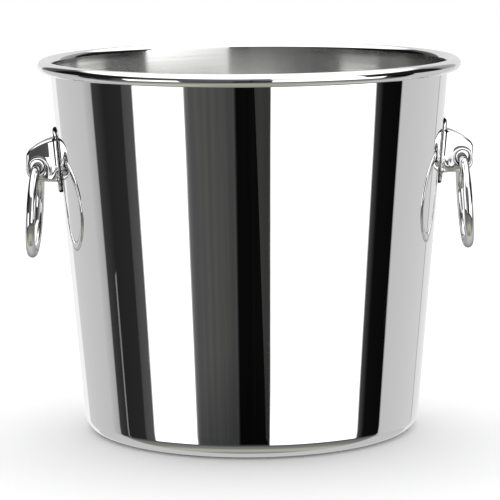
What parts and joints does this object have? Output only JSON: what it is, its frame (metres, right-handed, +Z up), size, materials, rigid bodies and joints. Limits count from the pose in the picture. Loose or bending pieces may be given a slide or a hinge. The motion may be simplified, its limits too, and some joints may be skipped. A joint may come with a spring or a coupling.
{
  "type": "ice bucket",
  "caption": "Tapered, mirror-polished steel ice bucket with a curled rim and loose ring handles that swing in cast brackets at its sides.",
  "frame": {"origin": "centre of the base, on the plane that the bucket stands on", "axes": "+Z up along the bowl's axis, +X towards the right-hand handle, -X towards the left-hand handle, -Y towards the front"},
  "size_m": [0.2283, 0.215, 0.19],
  "materials": {
    "bowl_steel": "mirror-polished stainless steel outside, satin inside",
    "fitting_steel": "polished stainless steel casting",
    "ring_steel": "polished stainless steel wire"
  },
  "bodies": {
    "bucket": {"bowl": "bowl_steel", "right_bracket": "fitting_steel", "left_bracket": "fitting_steel"},
    "right_ring": {"right_ring": "ring_steel"},
    "left_ring": {"left_ring": "ring_steel"}
  },
  "joints": [
    {"name": "right_ring_swing", "type": "hinge", "parent": "bucket", "child": "right_ring", "pos_m": [0.10871, 0, 0.1376], "axis": [0, -1, 0], "range_deg": [-19, 172]},
    {"name": "left_ring_swing", "type": "hinge", "parent": "bucket", "child": "left_ring", "pos_m": [-0.10849, 0, 0.135], "axis": [0, 1, 0], "range_deg": [-19, 172]}
  ]
}
